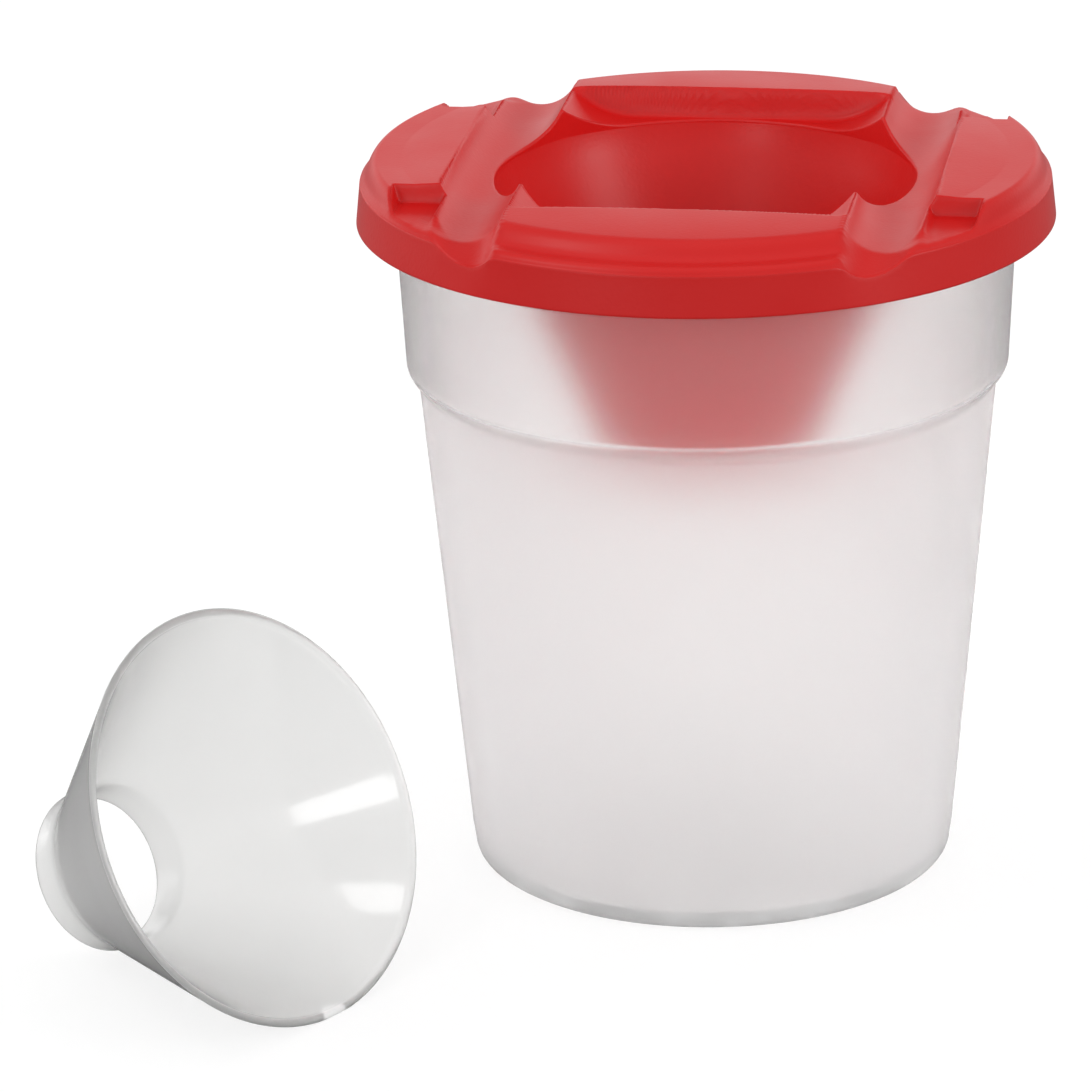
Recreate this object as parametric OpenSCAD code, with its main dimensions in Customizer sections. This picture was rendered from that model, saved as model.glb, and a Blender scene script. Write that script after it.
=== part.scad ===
// Brush washer for the paint table: a translucent pot, a moulded lid with a
// brush well and four brush rests, and a loose funnel insert for the well.
// Z points up, the origin is the centre of the pot's base and X runs along the
// two bars of the lid. The funnel lies on its side in front of the pot.

/* [Pot] */
// Radius of the pot's base
pot_base_r = 29.8; // [24:0.2:32]
// Radius of the corner between the base and the wall
pot_corner_r = 1.4; // [0.6:0.2:2]
// Radius of the body just below the step
pot_body_r = 35.4; // [33:0.2:36]
// Height of the middle of the step above the base
pot_step_z = 63; // [50:0.5:70]
// Height over which the step runs out
pot_step_h = 2.6; // [1.6:0.2:4]
// Radius at the foot of the upper band
pot_band_r = 36.8; // [36.2:0.1:37.4]
// Radius of the band just below the rim bead
pot_neck_r = 37.8; // [37.5:0.1:38.6]
// Overall height of the pot without its lid
pot_h = 85; // [78:0.5:100]
// Thickness of the pot's wall
pot_wall = 1.2; // [0.8:0.1:1.6]
// Thickness of the pot's floor
pot_floor = 1.6; // [1:0.1:3]
// Width of the flanged rim that holds the lid, outside the band
rim_w = 2.8; // [1.8:0.1:3.4]
// Height of the flanged rim
rim_h = 2.2; // [1.6:0.1:3]
// Height of the slope under the rim's foot
rim_foot_h = 0.8; // [0.4:0.1:1.4]
// Width of the bevels round the rim
rim_bevel = 0.4; // [0.2:0.1:0.6]

/* [Lid skirt] */
// Thickness of the lid's wall
lid_wall = 1.4; // [1:0.1:1.6]
// Taper of the skirt from its lower edge to its shoulder
skirt_draft = 0.5; // [0.1:0.1:1]
// Height of the straight part of the skirt
skirt_h = 4.6; // [4:0.1:5]
// Radius of the rounded top of the skirt
skirt_round = 1.4; // [1:0.1:2]
// Depth by which the skirt reaches below the top of the pot
lid_lap = 3; // [2.6:0.1:3.6]
// Gap between the lid and the pot's rim
rim_gap = 0.15; // [0.1:0.05:0.3]
// Height of the bead that grips the rim, inside the skirt's lower edge
bead_h = 0.35; // [0.2:0.05:0.5]
// Length of the bead's straight top
bead_w = 0.4; // [0.2:0.1:0.6]

/* [Lid top] */
// Height of the deck above the lid's lower edge
deck_h = 8.5; // [7.8:0.1:9]
// Distance of the wings' upper edge in from the skirt's lower edge
wing_in = 2.3; // [2:0.1:3.5]
// Distance of the foot of the wings' flank in from the skirt's lower edge
wing_foot_in = 1.3; // [1.1:0.1:1.8]
// Half depth of each wing, from front to back
wing_y = 17; // [14:0.5:19]
// Distance of the bars' upper edge in from the skirt's lower edge
bar_in = 5.7; // [5:0.1:6.5]
// Distance of the foot of the bars' flank in from the skirt's lower edge
bar_foot_in = 3.2; // [2.6:0.1:4]
// Distance of each bar's straight inner side from the middle
bar_y = 26; // [25.9:0.1:28]
// Half length of the flat floor between the bars
recess_x = 12; // [8:0.5:14]
// Height of the floor between the bars
recess_h = 4.6; // [4.4:0.1:5.2]
// Radius by which the floor's ends curve up to the brush rests
recess_round = 11; // [9:0.5:14]

/* [Brush rests] */
// Distance of each brush rest from the middle
rest_x = 24.9; // [24:0.1:25.6]
// Radius of the brush rests
rest_r = 5; // [4.4:0.1:5.4]
// Height of the bottom of the brush rests
rest_h = 4.8; // [4.7:0.1:5.4]
// Distance from the middle to where the ends of the brush rests start to fall
rest_end_y = 29; // [27:0.2:30]
// Slope of the ends of the brush rests, in degrees
rest_end_fall = 12; // [6:1:12]
// Amount by which the falling ends are narrower in radius than the rests
rest_narrowing = 0.05; // [0.05:0.05:0.2]

/* [Pockets] */
// Height of the pockets' floor
pocket_h = 5.7; // [5.4:0.1:6]
// Distance of the pockets' inner side from the middle
pocket_in_x = 28.9; // [28.4:0.1:29.4]
// Distance of the pockets' outer side from the middle
pocket_x = 35.4; // [33:0.2:36.4]

/* [Well] */
// Radius of the brush well at its seat
well_r = 25.6; // [25:0.1:25.8]
// Widening of the well from its seat to the deck
well_flare = 0.4; // [0.2:0.1:0.8]
// Depth of the well's cone below its seat
well_depth = 33; // [20:1:50]
// Radius of the opening at the foot of the well
throat_r = 12.2; // [11:0.2:16]

/* [Funnel] */
// Gap all round between the funnel's mouth and the well
funnel_gap = 0.2; // [0.1:0.1:0.6]
// Height of the funnel's cone
cone_h = 25.4; // [16:0.2:30]
// Radius where the cone meets the neck
neck_top_r = 10.5; // [8:0.1:11]
// Radius at the end of the neck
neck_end_r = 10; // [7:0.1:10.4]
// Length of the neck
neck_h = 4.4; // [2:0.2:10]
// Thickness of the funnel's wall
funnel_wall = 1.1; // [0.8:0.1:1.6]
// Place of the middle of the funnel's mouth, left to right
funnel_x = -47; // [-80:1:-47]
// Place of the middle of the funnel's mouth, front to back
funnel_y = -53; // [-80:1:-53]
// Direction in which the funnel's mouth faces
funnel_turn = -30; // [-40:1:-20]

/* [Hidden] */
$fn = 120;
// Overshoot of a cutting solid past the faces it cuts
over = 1;
// Size of a solid that reaches past the whole lid
reach = 100;
// Radius of the pot's flanged rim
rim_r = pot_neck_r + rim_w;
// Outer radius of the lid at its lower edge
lid_r = rim_r + rim_gap + bead_h + lid_wall;
// Radius of the deck's upper edge and of its flank's foot, at wings and bars
wing_r = lid_r - wing_in;
wing_foot_r = lid_r - wing_foot_in;
bar_r = lid_r - bar_in;
bar_foot_r = lid_r - bar_foot_in;
// Inner and outer radius of the ring under the deck that bears on the pot
ring_in_r = pot_neck_r;
ring_out_r = rim_r - rim_bevel - rim_gap;
// Height of the shoulder round the deck, at the top of the skirt's rounding
shoulder_h = skirt_h + skirt_round;
// Height of the lid's lower edge above the pot's base
lid_z = pot_h - lid_lap;
// Height above the lid's lower edge of the ring that bears on the pot
bearing_h = lid_lap + 0.1;
// Outer radius of the funnel's mouth
mouth_r = well_r - funnel_gap;
// Whole height of the funnel
funnel_h = cone_h + neck_h;
// Angle at which the funnel lies, on its mouth and its neck end
funnel_lie = atan2(mouth_r - neck_end_r, funnel_h);
// Height of the middle of the mouth above the ground as the funnel lies
mouth_z = mouth_r * cos(funnel_lie);
pot_colour = [0.90, 0.89, 0.88, 0.6];
lid_colour = [0.82, 0.15, 0.13];
funnel_colour = [0.92, 0.92, 0.92, 0.5];

// Points of an arc from one angle to another, for profiles
function arc(cx, cz, r, from, to, steps = 12) =
    [for (i = [0:steps]) let (a = from + (to - from) * i / steps)
        [cx + r * cos(a), cz + r * sin(a)]];

// Points of the pot's step, an S from the body to the band, for a wall that
// stands t inside the outer face
function step(t, points = 8) =
    [for (i = [0:points]) let (share = (1 - cos(180 * i / points)) / 2)
        [pot_body_r - t + (pot_band_r - pot_body_r) * share,
         pot_step_z + pot_step_h * (i / points - 0.5)]];

module pot_outside() {
    rim_z = pot_h - rim_h;
    rotate_extrude()
        polygon(concat(
            [[0, 0]],
            arc(pot_base_r - pot_corner_r, pot_corner_r, pot_corner_r, -90, 0, 8),
            step(0),
            [[pot_neck_r, rim_z - rim_foot_h],
             [rim_r - rim_bevel, rim_z],
             [rim_r, rim_z + rim_bevel],
             [rim_r, pot_h - rim_bevel],
             [rim_r - rim_bevel, pot_h],
             [0, pot_h]]));
}

module pot_inside() {
    inner_r = pot_base_r - pot_wall;
    rotate_extrude()
        polygon(concat(
            [[0, pot_floor]],
            arc(inner_r - pot_corner_r, pot_floor + pot_corner_r, pot_corner_r, -90, 0, 6),
            step(pot_wall),
            [[pot_neck_r - pot_wall, pot_h - rim_h],
             [pot_neck_r - pot_wall, pot_h + over],
             [0, pot_h + over]]));
}

// Tapered cup with a rounded corner, a step below its upper band and a
// flanged rim for the lid
module pot() {
    color(pot_colour)
        difference() {
            pot_outside();
            pot_inside();
        }
}

// Skirt and shoulder of the lid as a solid of revolution, drawn in by t
module lid_round(t) {
    round_r = max(skirt_round - t, 0.2);
    rotate_extrude()
        polygon(concat(
            [[0, -over * sign(t)], [lid_r - t, -over * sign(t)]],
            arc(lid_r - skirt_draft - t - round_r, skirt_h, round_r, 0, 90, 8),
            [[0, skirt_h + round_r]]));
}

// Round deck with a sloping flank that ends in the skirt's rounded top, drawn
// in by t
module deck(flank_r, top_r, t) {
    rise = deck_h - shoulder_h;
    slope = (flank_r - top_r) / rise;
    translate([0, 0, shoulder_h - over - t])
        cylinder(h = rise + over, r1 = flank_r + slope * over - t, r2 = top_r - t);
}

// Left and right parts of the deck, which carry the wings, drawn in by t
module wings(t) {
    difference() {
        deck(wing_foot_r, wing_r, t);
        cube([2 * rest_x, 2 * reach, 2 * reach], center = true);
    }
}

// Middle part of the deck, which is left as a bar along the front and the
// back, drawn in by t
module bars(t) {
    intersection() {
        deck(bar_foot_r, bar_r, t);
        cube([2 * rest_x + 2, 2 * reach, 2 * reach], center = true);
    }
}

// Brush rests, each a round trough from front to back whose ends fall away,
// with a wall of t left round them
module brush_rests(t) {
    for (s = [-1, 1])
        translate([s * rest_x, 0, rest_h + rest_r]) {
            rotate([90, 0, 0])
                cylinder(h = 2 * reach, r = rest_r + t, center = true);
            for (end = [-1, 1])
                translate([0, end * rest_end_y, 0])
                    rotate([-end * (90 + rest_end_fall), 0, 0])
                        cylinder(h = reach, r = rest_r + t - rest_narrowing);
        }
}

// Space between the bars: a flat floor whose ends curve up to the brush rests,
// with a wall of t left round it
module recess(t) {
    top = deck_h + recess_round;
    rotate([90, 0, 0])
        linear_extrude(height = 2 * (bar_y + t), center = true)
            polygon(concat(
                arc(recess_x, recess_h + recess_round, recess_round + t, -90, -35, 8),
                [[rest_x, top], [-rest_x, top]],
                arc(-recess_x, recess_h + recess_round, recess_round + t, -145, -90, 8)));
}

// Pockets that cut the wings off straight at the front and the back, with a
// wall of t left round them
module pockets(t) {
    for (sx = [-1, 1], sy = [-1, 1])
        translate([sx * (pocket_in_x + pocket_x) / 2,
                   sy * (wing_y - t + reach / 2), pocket_h - t + reach / 2])
            cube([pocket_x - pocket_in_x + 2 * t, reach, reach], center = true);
}

// Inside of the brush well, with a wall of t left round it
module well(t) {
    translate([0, 0, recess_h - well_depth - over * (1 - sign(t))])
        cylinder(h = well_depth + over * (1 - sign(t)) + 0.01,
                 r1 = throat_r + t, r2 = well_r + t);
    translate([0, 0, recess_h])
        cylinder(h = deck_h - recess_h + over,
                 r1 = well_r + t, r2 = well_r + well_flare + t);
}

// Ring under the deck that bears on the pot
module bearing_ring() {
    rotate_extrude()
        translate([ring_in_r, bearing_h - over])
            square([ring_out_r - ring_in_r, shoulder_h - bearing_h + over]);
}

// Bead inside the skirt's lower edge that grips the pot's rim
module grip_bead() {
    rotate_extrude()
        polygon([[lid_r - lid_wall - bead_h, bead_w],
                 [lid_r, -over],
                 [lid_r, 3 * bead_w],
                 [lid_r - lid_wall - bead_h, 2 * bead_w]]);
}

// Room for the pot's rim under the lid
module rim_room() {
    rotate_extrude()
        translate([pot_band_r - over, -over])
            square([rim_r + rim_gap - pot_band_r + over, bearing_h + over]);
}

// Skirted cap with a hollow deck, brush rests, bars, wings and the well
module lid() {
    color(lid_colour)
        translate([0, 0, lid_z])
            difference() {
                union() {
                    difference() {
                        union() {
                            lid_round(0);
                            wings(0);
                            bars(0);
                        }
                        difference() {
                            union() {
                                lid_round(lid_wall);
                                wings(lid_wall);
                                bars(lid_wall);
                            }
                            brush_rests(lid_wall);
                            recess(lid_wall);
                            pockets(lid_wall);
                            bearing_ring();
                            grip_bead();
                        }
                        brush_rests(0);
                        recess(0);
                        pockets(0);
                    }
                    translate([0, 0, recess_h - well_depth])
                        cylinder(h = well_depth, r1 = throat_r + lid_wall,
                                 r2 = well_r + lid_wall);
                }
                well(0);
                rim_room();
            }
}

// Open cone with a short neck, lying on its mouth and its neck end
module funnel() {
    color(funnel_colour)
        translate([funnel_x, funnel_y, mouth_z])
            rotate([0, 0, funnel_turn])
                rotate([0, 90 - funnel_lie, 0])
                    translate([0, 0, -funnel_h])
                        rotate_extrude()
                            polygon([[neck_end_r - funnel_wall, 0],
                                     [neck_end_r, 0],
                                     [neck_top_r, neck_h],
                                     [mouth_r, funnel_h],
                                     [mouth_r - funnel_wall, funnel_h],
                                     [neck_top_r - funnel_wall, neck_h + funnel_wall / 3]]);
}

pot();
lid();
funnel();
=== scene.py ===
import math

import bpy
import numpy as np
from mathutils import Matrix, Vector


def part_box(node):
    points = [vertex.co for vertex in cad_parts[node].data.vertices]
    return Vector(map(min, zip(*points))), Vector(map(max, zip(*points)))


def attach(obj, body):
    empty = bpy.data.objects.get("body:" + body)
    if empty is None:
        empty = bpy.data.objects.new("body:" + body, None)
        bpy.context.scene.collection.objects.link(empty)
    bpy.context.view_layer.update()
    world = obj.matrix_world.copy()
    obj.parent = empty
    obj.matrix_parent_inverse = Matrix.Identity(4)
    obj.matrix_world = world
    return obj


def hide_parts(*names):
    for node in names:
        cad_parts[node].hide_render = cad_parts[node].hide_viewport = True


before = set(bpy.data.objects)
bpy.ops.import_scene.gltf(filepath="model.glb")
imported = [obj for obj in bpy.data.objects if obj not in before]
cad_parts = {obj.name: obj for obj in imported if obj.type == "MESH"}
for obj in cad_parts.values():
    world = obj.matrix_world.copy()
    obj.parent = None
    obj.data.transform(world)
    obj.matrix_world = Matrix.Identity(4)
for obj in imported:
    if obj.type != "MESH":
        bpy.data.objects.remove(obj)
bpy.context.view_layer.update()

MM = 0.001


# Heights that the frame gives, in millimetres

pot_low, pot_top = (corner[2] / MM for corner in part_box("pot"))
lid_foot, lid_top = (corner[2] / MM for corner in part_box("lid"))


# Colours

def linear(hex_colour):
    """Linear RGBA of an sRGB hex colour such as "#c81e1e"."""
    srgb = [int(hex_colour[i:i + 2], 16) / 255 for i in (1, 3, 5)]
    lin = [c / 12.92 if c <= 0.04045 else ((c + 0.055) / 1.055) ** 2.4 for c in srgb]
    return (*lin, 1.0)


# Camera, fitted to the outline of the pot and the lid in the photograph

FOCAL_PX = 6049.0
IMAGE_PX = 1092.0
CAM_DISTANCE = 750 * MM
CAM_ELEVATION = math.radians(19.83)
CAM_TURN = math.radians(9.2)
CAM_ROLL = math.radians(1.206)
CAM_AIM_SIDE = -20.26 * MM
CAM_AIM_UP = 39.45 * MM


def make_camera():
    """Camera on a circle round the aim point, turned CAM_TURN from the lid's bars
    and rolled so that the picture's right side stands a little high."""
    side = Vector((math.cos(CAM_TURN), math.sin(CAM_TURN), 0))
    away = Vector((-math.sin(CAM_TURN), math.cos(CAM_TURN), 0))
    up = Vector((0, 0, 1))
    forward = away * math.cos(CAM_ELEVATION) - up * math.sin(CAM_ELEVATION)
    top = away * math.sin(CAM_ELEVATION) + up * math.cos(CAM_ELEVATION)
    right = side * math.cos(CAM_ROLL) - top * math.sin(CAM_ROLL)
    top = side * math.sin(CAM_ROLL) + top * math.cos(CAM_ROLL)
    place = side * CAM_AIM_SIDE + up * CAM_AIM_UP - forward * CAM_DISTANCE
    data = bpy.data.cameras.new("camera")
    data.sensor_width = 36
    data.lens = data.sensor_width * FOCAL_PX / IMAGE_PX
    data.clip_start = 0.01
    data.clip_end = 20
    camera = bpy.data.objects.new("camera", data)
    camera.matrix_world = Matrix((
        (right.x, top.x, -forward.x, place.x),
        (right.y, top.y, -forward.y, place.y),
        (right.z, top.z, -forward.z, place.z),
        (0, 0, 0, 1)))
    bpy.context.scene.collection.objects.link(camera)
    bpy.context.scene.camera = camera


# Meshes

def grid_mesh(name, points):
    """Closed mesh from an array of points (rows, columns, 3) in metres. Both the
    rows and the columns run round and join up, so the surface is a ring tube."""
    rows, cols = points.shape[:2]
    index = np.arange(rows * cols).reshape(rows, cols)
    a = index
    b = np.roll(index, -1, axis=1)
    c = np.roll(b, -1, axis=0)
    d = np.roll(index, -1, axis=0)
    quads = np.stack([a, b, c, d], axis=-1).reshape(-1, 4)
    mesh = bpy.data.meshes.new(name)
    mesh.vertices.add(rows * cols)
    mesh.vertices.foreach_set("co", points.reshape(-1).astype(np.float32))
    mesh.loops.add(quads.size)
    mesh.loops.foreach_set("vertex_index", quads.reshape(-1).astype(np.int32))
    mesh.polygons.add(len(quads))
    mesh.polygons.foreach_set("loop_start", np.arange(0, quads.size, 4, dtype=np.int32))
    mesh.polygons.foreach_set("loop_total", np.full(len(quads), 4, dtype=np.int32))
    mesh.polygons.foreach_set("use_smooth", np.ones(len(quads), dtype=bool))
    mesh.update(calc_edges=True)
    mesh.validate()
    piece = bpy.data.objects.new(name, mesh)
    bpy.context.scene.collection.objects.link(piece)
    return piece


def arc(centre_r, centre_z, radius, start, end, steps):
    """Points of a circular arc in a profile's plane, angles in degrees."""
    a = np.radians(np.linspace(start, end, steps))
    return np.stack([centre_r + radius * np.cos(a), centre_z + radius * np.sin(a)], -1)


def line(start, end, steps):
    """Evenly spaced points of a straight line in a profile's plane."""
    t = np.linspace(0, 1, steps)[:, None]
    return np.array(start) * (1 - t) + np.array(end) * t


def without_repeats(profile):
    """The profile with each point dropped that repeats the one before it."""
    gap = np.linalg.norm(profile - np.roll(profile, 1, axis=0), axis=1)
    return profile[gap > 1e-4]


def revolve(profile, cols):
    """Surface of revolution about Z of a closed profile of (r, z) in millimetres.
    Row i is the circle of radius r_i at height z_i."""
    turn = np.linspace(0, 2 * np.pi, cols, endpoint=False)
    r, z = profile[:, :1], profile[:, 1:]
    return np.stack([r * np.cos(turn), r * np.sin(turn), z + 0 * turn], -1) * MM


# Pot

POT_H = pot_top - pot_low
POT_WALL = 1.2
POT_FLOOR = 1.6
POT_BASE_R = 29.8
POT_BODY_R = 35.4
POT_BAND_R = 36.8
POT_NECK_R = 37.8
POT_STEP_Z = 63.0
POT_STEP_H = 2.6
STEP_REACH = 2.0
POT_CORNER_R = 1.4
RIM_R = 40.6
RIM_H = 2.2
RIM_ROUND = 0.5
RIM_UNDER_ROUND = 0.4
INNER_CORNER_R = 1.6
AXIS_R = 0.02


def pot_wall_radius(z):
    """Outer radius of the pot's wall at height z: the lower taper, the upper band's
    taper and a smooth step between them, a cosine ramp over the step's height."""
    lower = POT_BASE_R + (POT_BODY_R - POT_BASE_R) * z / (POT_STEP_Z - POT_STEP_H / 2)
    upper = POT_BAND_R + (POT_NECK_R - POT_BAND_R) * (z - POT_STEP_Z) / (POT_H - RIM_H - POT_STEP_Z)
    share = np.clip((z - POT_STEP_Z) / POT_STEP_H + 0.5, 0, 1)
    ramp = 0.5 - 0.5 * np.cos(np.pi * share)
    return lower * (1 - ramp) + upper * ramp


def make_pot():
    """Cup wall as a closed profile: out along the base, up the outside, over the
    flanged rim, down the inside and back along the floor to the axis."""
    low = POT_CORNER_R
    rim_low = POT_H - RIM_H
    heights = np.concatenate([
        np.linspace(low, POT_STEP_Z - STEP_REACH, 26, endpoint=False),
        np.linspace(POT_STEP_Z - STEP_REACH, POT_STEP_Z + STEP_REACH, 25, endpoint=False),
        np.linspace(POT_STEP_Z + STEP_REACH, rim_low - 0.9, 10)])
    outside = np.stack([pot_wall_radius(heights), heights], -1)
    rim = np.concatenate([
        arc(RIM_R - RIM_ROUND, rim_low + 0.2, RIM_UNDER_ROUND, -90, 0, 5),
        arc(RIM_R - RIM_ROUND, POT_H - RIM_ROUND, RIM_ROUND, 0, 90, 6)])
    inside_top = POT_NECK_R - POT_WALL
    lip = arc(inside_top + RIM_ROUND, POT_H - RIM_ROUND, RIM_ROUND, 90, 180, 6)
    inner_heights = np.concatenate([heights[::-1][2:-3], [low + POT_FLOOR + 1.2]])
    inside = np.stack([pot_wall_radius(inner_heights) - POT_WALL, inner_heights], -1)
    corner = POT_BASE_R - POT_WALL + 0.2 - INNER_CORNER_R
    profile = np.concatenate([
        line((AXIS_R, 0), (POT_BASE_R - low, 0), 12)[:-1],
        arc(POT_BASE_R - low, low, low, -90, 0, 8),
        outside[1:], rim, lip, inside,
        arc(corner, POT_FLOOR + INNER_CORNER_R, INNER_CORNER_R, 0, -90, 7),
        line((corner - 0.1, POT_FLOOR), (AXIS_R, POT_FLOOR), 12)])
    return grid_mesh("pot_cup", revolve(without_repeats(profile), 256))


# Lid

LID_R = 42.5
LID_WALL = 1.4
SKIRT_R = 42.0
SKIRT_H = 4.6
SKIRT_ROUND = 1.4
SKIRT_RING_FALL = 0.12
SKIRT_RING_IN = 3.0
SKIRT_LIP = 0.25
SHOULDER_H = SKIRT_H + SKIRT_ROUND
SHOULDER_FILLET = 0.6
DECK_H = 8.5
DECK_CROWN = 0.6
CROWN_R = 24.0
WING_R = 40.2
WING_FOOT_R = 41.2
WING_EDGE = 1.6
BAR_R = 36.8
BAR_FOOT_R = 39.3
BAR_EDGE = 0.9
BAR_END_X = 31.5
BAR_END_BLEND = 0.8
BAR_Y = 26.4
RECESS_X = 12.0
RECESS_H = 4.6
RECESS_ROUND = 11.0
RECESS_FILLET = 1.6
RECESS_SIDE_FILLET = 1.2
RECESS_EDGE = 0.6
WELL_FADE = 1.5
REST_X = 24.9
REST_R = 5.0
REST_H = 4.8
REST_EDGE = 0.9
REST_ARC_SHARE = 0.94
REST_END_Y = 30.1
REST_END_BEND = 0.25
WING_Y = 17.0
POCKET_H = 5.7
POCKET_IN_X = 28.35
POCKET_X = 35.4
POCKET_FILLET = 1.4
POCKET_CORNER = 0.6
POCKET_EDGE = 0.45
LEDGE_FILLET = 1.6
WELL_R = 25.6
WELL_EDGE = 0.3
THROAT_R = 12.2
BEARING_H = 3.1
BEARING_IN = 0.55
RIM_GAP = 0.15
LID_Z = lid_top - DECK_H
WELL_FOOT_H = lid_foot - LID_Z
WELL_SEAT_H = RECESS_H - 0.4

# The deck's rows end 32 degrees up the skirt's rounding, whose rows follow

DECK_END_R = SKIRT_R - SKIRT_ROUND * (1 - math.cos(math.radians(32)))
ROUND_OFF_FALL = 0.15

# How steep the walls of the moulded top are, as the rise in a millimetre

BAR_SIDE_SLOPE = 10.0
REST_SIDE_SLOPE = 9.0
REST_END_SLOPE = 0.35
LEDGE_SLOPE = 7.0
POCKET_IN_SLOPE = 3.0
POCKET_OUT_SLOPE = 4.0


def soft_min(a, b, width):
    """The lower of two heights, blended by a parabola where they differ by less
    than the width, as a fillet does."""
    near = np.clip(width - np.abs(a - b), 0, None) / width
    return np.minimum(a, b) - near * near * width / 4


def soft_max(a, b, width):
    """The higher of two heights, blended in the same way."""
    return -soft_min(-a, -b, width)


def fillet(distance, radius):
    """Height that a round fillet adds to a floor at a distance from its wall."""
    short = radius - np.clip(distance, 0, radius)
    return radius - np.sqrt(radius ** 2 - short ** 2)


def bent_down(along, start, slope, ease):
    """Fall of a line that bends down to a slope past its start, eased round the
    bend: a hyperbola that joins the level line to the slope."""
    past = along - start
    return slope * (past + np.sqrt(past ** 2 + ease ** 2)) / 2


def trough(offset, radius, bottom):
    """Height of a round trough's wall at an offset from its middle line: an arc,
    carried on by a steep straight wall past its sides."""
    side = radius * REST_ARC_SHARE
    reach = np.clip(np.abs(offset), 0, side)
    wall = np.clip(np.abs(offset) - side, 0, None) * REST_SIDE_SLOPE
    return bottom + radius - np.sqrt(radius ** 2 - reach ** 2) + wall


def flank(r, foot_r, top_r, t):
    """Height of the deck's sloping side: a straight line from the shoulder at
    foot_r up to the deck at top_r, drawn in by the wall t."""
    return DECK_H - t - (r - (top_r - t)) * (DECK_H - SHOULDER_H) / (foot_r - top_r)


def deck_top(r, t):
    """Height of the deck, which falls outward a little along a parabola."""
    return DECK_H - t - DECK_CROWN * np.clip((r - CROWN_R) / (BAR_R - CROWN_R), 0, 1) ** 2


def skirt_top(r, t):
    """Height of the skirt's top: a ring that falls a little outward, then a quarter
    circle down. Drawn in by a wall t, its ring is level."""
    round_r = max(SKIRT_ROUND - t, 0.2)
    centre = SKIRT_R - t - round_r
    out = np.clip(r - centre, 0, round_r)
    ring_fall = 0.0 if t else SKIRT_RING_FALL
    ring = ring_fall * np.clip(r - BAR_FOOT_R, -SKIRT_RING_IN, centre - BAR_FOOT_R)
    return SKIRT_H - ring + np.sqrt(round_r ** 2 - out ** 2)


def lid_height(x, y, t=0.0):
    """Height of the lid's top at plan point (x, y), drawn in by the wall t. The deck
    falls to the skirt along its flanks; the brush rests, the space between the
    bars and the four pockets are then taken out with filleted edges."""
    r = np.hypot(x, y)
    ax, ay = np.abs(x), np.abs(y)
    deck_h = DECK_H - t
    wing = soft_min(deck_top(r, t), flank(r, WING_FOOT_R, WING_R, t), WING_EDGE)
    bar = soft_min(deck_top(r, t), flank(r, BAR_FOOT_R, BAR_R, t), BAR_EDGE)
    share = np.clip((ax - BAR_END_X) / BAR_END_BLEND + 0.5, 0, 1)
    top = soft_max(bar * (1 - share) + wing * share, skirt_top(r, t), SHOULDER_FILLET)
    # space between the bars
    curve = np.clip(ax - RECESS_X, 0, (RECESS_ROUND + t) * 0.8)
    floor = RECESS_H + RECESS_ROUND - np.sqrt((RECESS_ROUND + t) ** 2 - curve ** 2)
    wall_gap = BAR_Y + t - ay
    foot = fillet(wall_gap, RECESS_FILLET) * np.clip((r - WELL_R) / WELL_FADE, 0.1, 1)
    side = deck_h - wall_gap * BAR_SIDE_SLOPE
    top = soft_min(top, soft_max(floor + foot, side, RECESS_SIDE_FILLET), RECESS_EDGE)
    # brush rests, whose ends fall away
    fall = bent_down(ay, REST_END_Y, REST_END_SLOPE, REST_END_BEND)
    top = soft_min(top, trough(ax - REST_X, REST_R + t, REST_H - t) - fall, REST_EDGE)
    # pockets
    back = deck_h + (WING_Y - t - ay) * LEDGE_SLOPE
    inner = deck_h + (POCKET_IN_X - t - ax) * POCKET_IN_SLOPE
    outer = deck_h + (ax - POCKET_X - t) * POCKET_OUT_SLOPE
    pocket = soft_max(soft_max(POCKET_H - t, back, LEDGE_FILLET),
                      soft_max(inner, outer, POCKET_CORNER), POCKET_FILLET)
    return soft_min(top, pocket, POCKET_EDGE)


# The lid's columns gather at the ledges, which cross LEDGE_R at LEDGE_TURN

LEDGE_R = 37.4
LEDGE_TURN = math.asin(WING_Y / LEDGE_R)
SWING_START_R = 26.0
SWING_IN_R = 33.4
SWING_OUT_R = 41.5
SWING_SPREAD = math.radians(9)
BEFORE_LEDGE = 1.2
PAST_LEDGE = 1.8


def lid_turns():
    """Angles of the lid's columns at the pockets, four alike quarters. They stand
    close together along the ledges that cut the wings off."""
    ledge = math.degrees(LEDGE_TURN)
    quarter = np.concatenate([
        np.linspace(0, ledge - BEFORE_LEDGE, 26, endpoint=False),
        np.linspace(ledge - BEFORE_LEDGE, ledge + PAST_LEDGE, 22, endpoint=False),
        np.linspace(ledge + PAST_LEDGE, 90, 76)])
    half = np.concatenate([quarter, 180 - quarter[-2::-1]])
    return np.radians(np.concatenate([half, half[1:-1] + 180]))


def swung(turn, r):
    """Angles of the columns at radius r. Near the ledges they swing so that they
    follow the ledges' straight lines y = WING_Y and -WING_Y."""
    away = np.minimum(r, SWING_OUT_R)
    shift = np.arcsin(np.clip(WING_Y / np.maximum(away, SWING_IN_R), 0, 1)) - LEDGE_TURN
    shift = shift * np.clip((away - SWING_START_R) / (SWING_IN_R - SWING_START_R), 0, 1) ** 2
    fold = np.abs((turn + np.pi / 2) % np.pi - np.pi / 2)
    sense = np.where(np.sin(2 * turn) >= 0, 1, -1)
    weight = np.exp(-((fold - LEDGE_TURN) / SWING_SPREAD) ** 2)
    return turn + sense * shift * weight


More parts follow.
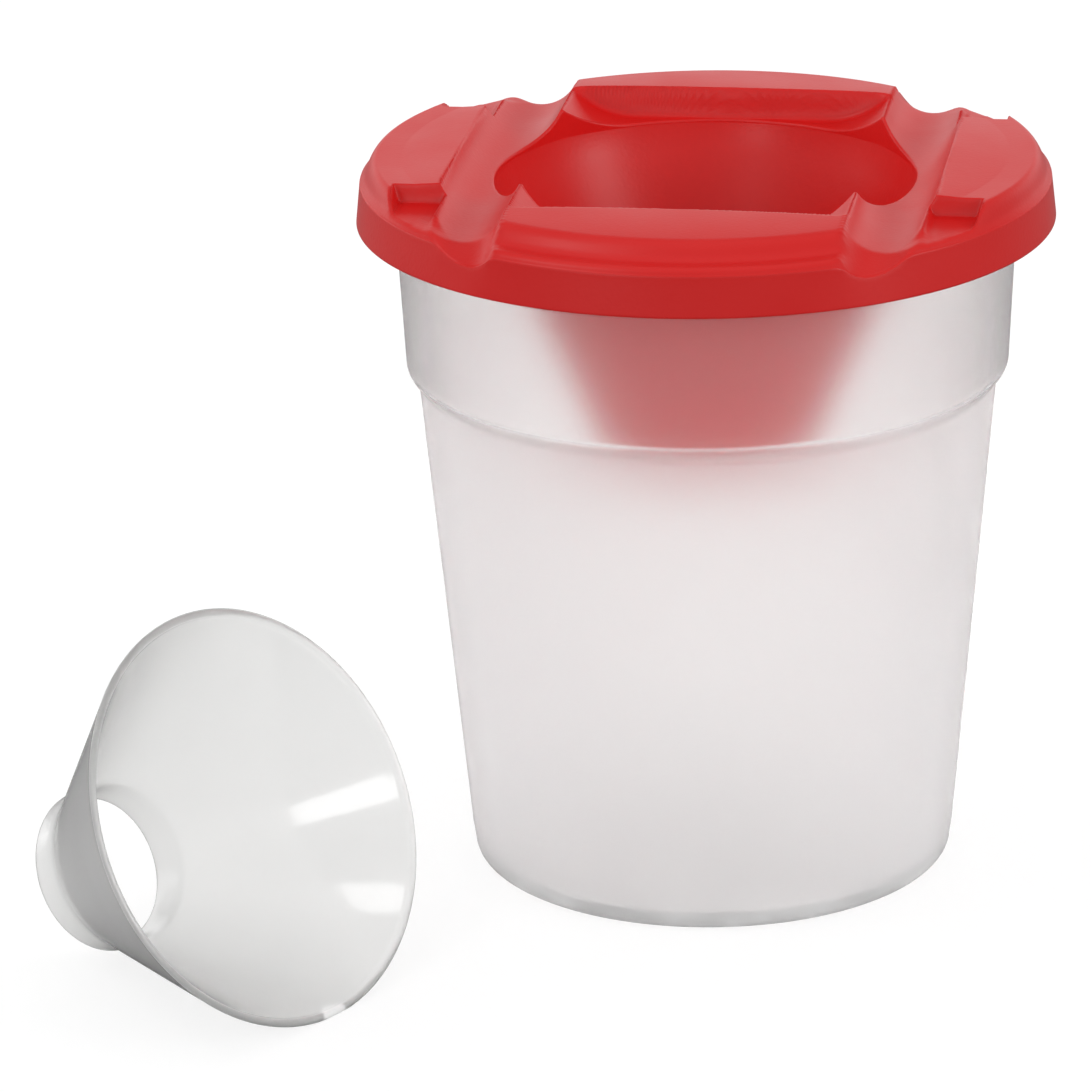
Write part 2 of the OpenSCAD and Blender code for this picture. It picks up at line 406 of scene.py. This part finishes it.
def lid_row(r, height):
    """One row of the lid, a curve round the axis at radius r, at a height that is a
    number or a function of the row's plan points."""
    turn = lid_turns()
    angle = swung(turn, r + 0 * turn)
    x, y = r * np.cos(angle), r * np.sin(angle)
    h = height(x, y) if callable(height) else height
    return np.stack([x, y, h + 0 * turn], -1)


def well_rim(lift):
    """Height on the well's wall as a function of plan points: up to 1 the lift is
    a share of the way from the seat to the wall's top, past 1 a share of the
    rounded edge above it."""
    def height(x, y):
        grow = (WELL_R + WELL_EDGE) / np.hypot(x, y)
        rim = lid_height(x * grow, y * grow)
        wall_top = np.maximum(rim - WELL_EDGE, WELL_SEAT_H + 0.02)
        if lift <= 1:
            return WELL_SEAT_H + (wall_top - WELL_SEAT_H) * lift
        return wall_top + (rim - wall_top) * (lift - 1)
    return height


def well_rows():
    """Rows up the inside of the well: a straight cone to its seat, a short upright
    wall and most of a quarter circle over its edge."""
    rise = WELL_SEAT_H - WELL_FOOT_H
    cone = [lid_row(THROAT_R + (WELL_R - THROAT_R) * share, WELL_FOOT_H + rise * share)
            for share in np.linspace(0, 1, 10)]
    wall = [lid_row(WELL_R, well_rim(lift)) for lift in (0.1, 0.3, 0.55, 0.8, 0.93)]
    edge = [lid_row(WELL_R + WELL_EDGE * (1 - math.cos(a)), well_rim(1 + math.sin(a)))
            for a in np.radians(np.linspace(0, 72, 5))]
    return cone + wall + edge


def deck_rows():
    """Rows out across the deck, from the well's edge to the skirt's rounding."""
    radii = np.concatenate([np.linspace(WELL_R + WELL_EDGE, 36.2, 62),
                            np.linspace(36.3, DECK_END_R, 44)])
    return [lid_row(r, lid_height) for r in radii]


def round_off(h, share=0.0):
    """Height on the skirt's rounding as a function of plan points: h, or that of the
    deck's edge further in where this is lower, as at the brush rests' ends. It
    is brought down to the lid's foot by the share."""
    def height(x, y):
        grow = DECK_END_R / np.hypot(x, y)
        edge = lid_height(x * grow, y * grow) - ROUND_OFF_FALL * (SHOULDER_H - h)
        return np.minimum(h, edge) * (1 - share)
    return height


def skirt_rows():
    """Rows over the skirt's rounding, a circle's arc, and down its drafted side."""
    rounding = [lid_row(SKIRT_R - SKIRT_ROUND * (1 - math.cos(a)),
                        round_off(SKIRT_H + SKIRT_ROUND * math.sin(a)))
                for a in np.radians(np.linspace(26, 0, 5))]
    side = [lid_row(LID_R - (LID_R - SKIRT_R) * (1 - share), round_off(SKIRT_H, share))
            for share in (0.15, 0.35, 0.6, 0.8, 0.93)]
    lip = [(LID_R - 0.02, SKIRT_LIP * 0.5), (LID_R - SKIRT_LIP * 0.4, 0.03),
           (LID_R - SKIRT_LIP * 1.4, 0)]
    return rounding + side + [lid_row(r, h) for r, h in lip]


def seat_rows():
    """Rows up the skirt's inside, past the grip bead, and in along the ring that
    bears on the pot's rim."""
    inner_r = LID_R - LID_WALL
    bead_r = RIM_R + RIM_GAP
    ring_out = RIM_R - BEARING_IN
    ring_in = POT_NECK_R
    path = [(bead_r + 0.4, 0), (bead_r + 0.1, 0.15), (bead_r, 0.4), (bead_r, 0.8),
            (inner_r, 1.2), (inner_r, 3.0), (inner_r - 0.1, 3.3), (ring_out + 0.15, 3.5),
            (ring_out, BEARING_H), (ring_out - 0.1, BEARING_H), (ring_in + 0.1, BEARING_H),
            (ring_in, BEARING_H)]
    return [lid_row(r, h) for r, h in path]


def underside_rows():
    """Rows in along the underside, the top drawn in by the wall, and down the
    outside of the well's cone."""
    def underside(x, y):
        return lid_height(x, y, LID_WALL)

    seat_r = WELL_R + LID_WALL
    throat_r = THROAT_R + LID_WALL
    deck = [lid_row(r, underside) for r in np.linspace(POT_NECK_R - 0.15, seat_r + 0.1, 18)]
    cone = [lid_row(seat_r + (throat_r - seat_r) * share,
                    (RECESS_H - LID_WALL) * (1 - share) + WELL_FOOT_H * share)
            for share in np.linspace(0, 1, 7)]
    return deck + cone


def make_lid():
    """The lid as one closed ring of rows: up the inside of the well, over its rim,
    out across the deck, down the skirt, back along the underside and down the
    outside of the well's cone."""
    points = np.array(well_rows() + deck_rows() + skirt_rows() + seat_rows() + underside_rows())
    points[..., 2] += LID_Z
    return grid_mesh("lid_moulding", points[::-1] * MM)


# Funnel

FUNNEL_GAP = 0.2
FUNNEL_WALL = 1.1
CONE_H = 25.4
NECK_TOP_R = 10.5
NECK_END_R = 10.0
NECK_H = 4.4
FUNNEL_X = -47.0
FUNNEL_Y = -53.0
FUNNEL_TURN = math.radians(-30)


def make_funnel():
    """Cone and neck as a closed profile with rounded edges, revolved, laid over on
    its mouth and its neck end, and turned to face the front right. The profile's
    lines stop a little short of each corner, which takes the edge off it."""
    mouth_r = WELL_R - FUNNEL_GAP
    height = CONE_H + NECK_H
    wall = FUNNEL_WALL
    edge = wall / 2
    profile = np.concatenate([
        arc(NECK_END_R - edge, edge, edge, -180, 0, 9),
        line((NECK_END_R + 0.05, 1.0), (NECK_TOP_R - 0.05, NECK_H - 0.8), 4),
        line((NECK_TOP_R + 0.15, NECK_H), (mouth_r - 0.15, height - 0.5), 24),
        arc(mouth_r - edge - 0.02, height - edge, edge, 20, 180, 9),
        line((mouth_r - wall - 0.25, height - 0.9), (NECK_TOP_R - wall + 0.25, NECK_H + 0.9), 24),
        line((NECK_TOP_R - wall, NECK_H + 0.2), (NECK_END_R - wall, 1.0), 4)])
    points = revolve(without_repeats(profile), 256)
    lie = math.atan2(mouth_r - NECK_END_R, height)
    stand = (Matrix.Translation(Vector((FUNNEL_X, FUNNEL_Y, mouth_r * math.cos(lie))) * MM)
             @ Matrix.Rotation(FUNNEL_TURN, 4, "Z")
             @ Matrix.Rotation(math.pi / 2 - lie, 4, "Y")
             @ Matrix.Translation(Vector((0, 0, -height)) * MM))
    turned = np.array(stand)
    return grid_mesh("funnel_insert", points @ turned[:3, :3].T + turned[:3, 3])


# Materials

def add(tree, kind, inputs=None, **settings):
    """Adds one node, sets its settings, and sets or links its named inputs."""
    node = tree.nodes.new(kind)
    for key, value in settings.items():
        setattr(node, key, value)
    for key, value in (inputs or {}).items():
        if isinstance(value, bpy.types.NodeSocket):
            tree.links.new(value, node.inputs[key])
        else:
            node.inputs[key].default_value = value
    return node


def new_material(name):
    """An empty node material with its output node."""
    material = bpy.data.materials.new(name)
    material.use_nodes = True
    tree = material.node_tree
    tree.nodes.clear()
    return material, tree, add(tree, "ShaderNodeOutputMaterial")


def red_polypropylene():
    """Moulded satin polypropylene, coloured right through: a deep red that turns
    pale on the level faces, where it mirrors the bright wall behind."""
    material, tree, out = new_material("moulded_red_polypropylene")
    place = add(tree, "ShaderNodeTexCoord").outputs["Object"]
    # the mould's grain, much finer in truth, drawn at about 0.4 mm so that it shows
    grain = add(tree, "ShaderNodeTexNoise", {"Vector": place, "Scale": 2200.0, "Detail": 2.0})
    # wear from handling, in patches some 12 mm across
    cloud = add(tree, "ShaderNodeTexNoise", {"Vector": place, "Scale": 80.0, "Detail": 4.0})
    tint = add(tree, "ShaderNodeMix", {"Factor": cloud.outputs["Fac"], 6: linear("#cf0e0c"),
                                       7: linear("#d5120f")}, data_type="RGBA")
    rough = add(tree, "ShaderNodeMapRange", {"Value": cloud.outputs["Fac"], "From Min": 0.3,
                                             "From Max": 0.7, "To Min": 0.34, "To Max": 0.42})
    bump = add(tree, "ShaderNodeBump", {"Height": grain.outputs["Fac"], "Strength": 0.25,
                                        "Distance": 0.00008})
    shader = add(tree, "ShaderNodeBsdfPrincipled", {
        "Base Color": tint.outputs[2], "Roughness": rough.outputs["Result"],
        "Normal": bump.outputs["Normal"], "IOR": 1.49})
    tree.links.new(shader.outputs["BSDF"], out.inputs["Surface"])
    return material


def frosted_polypropylene():
    """Natural polypropylene of the pot: it lets light through and blurs what stands
    behind it, less in the band, so that the red well shows there, and more below."""
    material, tree, out = new_material("frosted_natural_polypropylene")
    place = add(tree, "ShaderNodeTexCoord").outputs["Object"]
    height = add(tree, "ShaderNodeSeparateXYZ", {"Vector": place}).outputs["Z"]
    # the mould is smoother above the step than below it
    step = {"Value": height, "From Min": (POT_STEP_Z - 1) * MM, "From Max": (POT_STEP_Z + 1) * MM}
    rough = add(tree, "ShaderNodeMapRange", {**step, "To Min": 0.65, "To Max": 0.27})
    clear = add(tree, "ShaderNodeMapRange", {**step, "To Min": 0.9, "To Max": 0.93})
    # faint clouds in the plastic, some 17 mm across
    cloud = add(tree, "ShaderNodeTexNoise", {"Vector": place, "Scale": 60.0, "Detail": 3.0})
    tint = add(tree, "ShaderNodeMix", {"Factor": cloud.outputs["Fac"], 6: linear("#fdfbfb"),
                                       7: linear("#fefdfd")}, data_type="RGBA")
    # the mould's grain, much finer in truth, drawn at about 0.5 mm so that it shows
    grain = add(tree, "ShaderNodeTexNoise", {"Vector": place, "Scale": 1800.0, "Detail": 2.0})
    bump = add(tree, "ShaderNodeBump", {"Height": grain.outputs["Fac"], "Strength": 0.08,
                                        "Distance": 0.00006})
    shader = add(tree, "ShaderNodeBsdfPrincipled", {
        "Base Color": tint.outputs[2], "Roughness": rough.outputs["Result"],
        "Normal": bump.outputs["Normal"], "IOR": 1.49,
        "Transmission Weight": clear.outputs["Result"]})
    tree.links.new(shader.outputs["BSDF"], out.inputs["Surface"])
    return material


def clear_polypropylene():
    """Polished natural polypropylene of the funnel: thin and milky, with a gloss
    that mirrors the lamps as sharp patches."""
    material, tree, out = new_material("polished_natural_polypropylene")
    place = add(tree, "ShaderNodeTexCoord").outputs["Object"]
    # a polish that varies in patches some 11 mm across
    cloud = add(tree, "ShaderNodeTexNoise", {"Vector": place, "Scale": 90.0, "Detail": 3.0})
    rough = add(tree, "ShaderNodeMapRange", {"Value": cloud.outputs["Fac"], "From Min": 0.3,
                                             "From Max": 0.7, "To Min": 0.28, "To Max": 0.36})
    shader = add(tree, "ShaderNodeBsdfPrincipled", {
        "Base Color": linear("#fcfcfb"), "Roughness": rough.outputs["Result"], "IOR": 1.49,
        "Transmission Weight": 0.8, "Coat Weight": 1.0, "Coat Roughness": 0.09,
        "Coat IOR": 1.49})
    tree.links.new(shader.outputs["BSDF"], out.inputs["Surface"])
    return material


# Strengths of what isn't a lamp, where 1 is white

FLOOR_GLOW = 0.76
WALL_LIGHT = 1.25
CEILING_LIGHT = 0.7
MIRRORED_ROOM = 0.08


def paper_floor():
    """Matt paper under the object. It glows a little for camera rays and for rays
    through the plastic, which takes it to white there, and it keeps the shadow."""
    material, tree, out = new_material("matt_white_paper")
    path = add(tree, "ShaderNodeLightPath")
    seen = add(tree, "ShaderNodeMath", {0: path.outputs["Is Camera Ray"],
                                        1: path.outputs["Is Transmission Ray"]}, operation="MAXIMUM")
    glow = add(tree, "ShaderNodeMath", {0: seen.outputs[0], 1: FLOOR_GLOW}, operation="MULTIPLY")
    shader = add(tree, "ShaderNodeBsdfPrincipled", {
        "Base Color": linear("#8c8c8c"), "Roughness": 0.9, "Specular IOR Level": 0.0,
        "Emission Color": (1, 1, 1, 1), "Emission Strength": glow.outputs[0]})
    tree.links.new(shader.outputs["BSDF"], out.inputs["Surface"])
    return material


# Floor, world and lights

FLOOR_EDGE_R = 6.0
FLOOR_DEPTH = 0.01
SET_MIDDLE = Vector((-0.01, -0.01, 0.05))


def make_floor():
    """A flat round floor: rings of points whose radii grow by one factor, above the
    same rings a little lower."""
    radii = np.concatenate([[0.001], np.geomspace(0.02, FLOOR_EDGE_R, 24)])
    turn = np.linspace(0, 2 * np.pi, 64, endpoint=False)
    top = np.stack([radii[:, None] * np.cos(turn), radii[:, None] * np.sin(turn),
                    0 * radii[:, None] * turn], -1)
    under = top[::-1] - (0, 0, FLOOR_DEPTH)
    floor = grid_mesh("floor", np.concatenate([under, top])[::-1])
    floor.data.materials.append(paper_floor())


def make_world():
    """White to the camera and through the plastic, dim in reflections, and a soft
    fill as a light, stronger from the walls than from the ceiling."""
    world = bpy.data.worlds.new("studio")
    world.use_nodes = True
    bpy.context.scene.world = world
    tree = world.node_tree
    tree.nodes.clear()
    path = add(tree, "ShaderNodeLightPath")
    seen = add(tree, "ShaderNodeMath", {0: path.outputs["Is Camera Ray"],
                                        1: path.outputs["Is Transmission Ray"]}, operation="MAXIMUM")
    bearing = add(tree, "ShaderNodeTexCoord").outputs["Generated"]
    up = add(tree, "ShaderNodeSeparateXYZ", {"Vector": bearing}).outputs["Z"]
    fill = add(tree, "ShaderNodeMapRange", {"Value": up, "To Min": WALL_LIGHT,
                                            "To Max": CEILING_LIGHT})
    other = add(tree, "ShaderNodeMix", {"Factor": path.outputs["Is Glossy Ray"],
                                        "A": fill.outputs["Result"], "B": MIRRORED_ROOM})
    strength = add(tree, "ShaderNodeMix", {"Factor": seen.outputs[0],
                                           "A": other.outputs["Result"], "B": 1.0})
    sky = add(tree, "ShaderNodeBackground", {"Color": (1, 1, 1, 1),
                                             "Strength": strength.outputs["Result"]})
    out = add(tree, "ShaderNodeOutputWorld")
    tree.links.new(sky.outputs["Background"], out.inputs["Surface"])


def make_softbox(name, azimuth, elevation, distance, size, radiance):
    """A rectangular soft light at a bearing from the object, in degrees, turned to
    it, as bright as radiance says, where 1 is the white of the background."""
    data = bpy.data.lights.new(name, "AREA")
    data.shape = "RECTANGLE"
    data.size, data.size_y = size
    data.energy = radiance * math.pi * size[0] * size[1]
    a, e = math.radians(azimuth), math.radians(elevation)
    bearing = Vector((math.cos(a) * math.cos(e), math.sin(a) * math.cos(e), math.sin(e)))
    facing = (-bearing).to_track_quat("-Z", "Y").to_matrix().to_4x4()
    lamp = bpy.data.objects.new(name, data)
    lamp.matrix_world = Matrix.Translation(bearing * distance + SET_MIDDLE) @ facing
    lamp.visible_camera = False
    lamp.visible_transmission = False
    bpy.context.scene.collection.objects.link(lamp)


def make_lights():
    """A low wall of light behind gives the level faces their sheen. Small boxes in
    front, above and at the right give the funnel and the well their highlights."""
    behind = 90 + math.degrees(CAM_TURN)
    make_softbox("back_wall", behind, 13, 1.6, (4.0, 0.75), 0.85)
    make_softbox("top_box", behind, 80, 1.2, (1.0, 1.0), 0.2)
    make_softbox("front_left_box", -112, 16, 1.0, (0.16, 0.21), 5.0)
    make_softbox("high_left_box", -157, 59, 1.0, (0.28, 0.19), 4.0)
    make_softbox("right_box", -16, 21, 1.0, (0.45, 0.3), 3.6)
    make_softbox("left_wall", 170, 9, 1.2, (1.0, 0.5), 0.9)


def dress(piece, material, body, node):
    """Gives a piece its material, says what it rides on and hides the part it stands for."""
    piece.data.materials.append(material)
    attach(piece, body)
    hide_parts(node)


make_camera()
dress(make_pot(), frosted_polypropylene(), "pot", "pot")
dress(make_lid(), red_polypropylene(), "lid", "lid")
dress(make_funnel(), clear_polypropylene(), "funnel", "funnel")
make_floor()
make_world()
make_lights()
bpy.context.scene.view_settings.view_transform = "Standard"
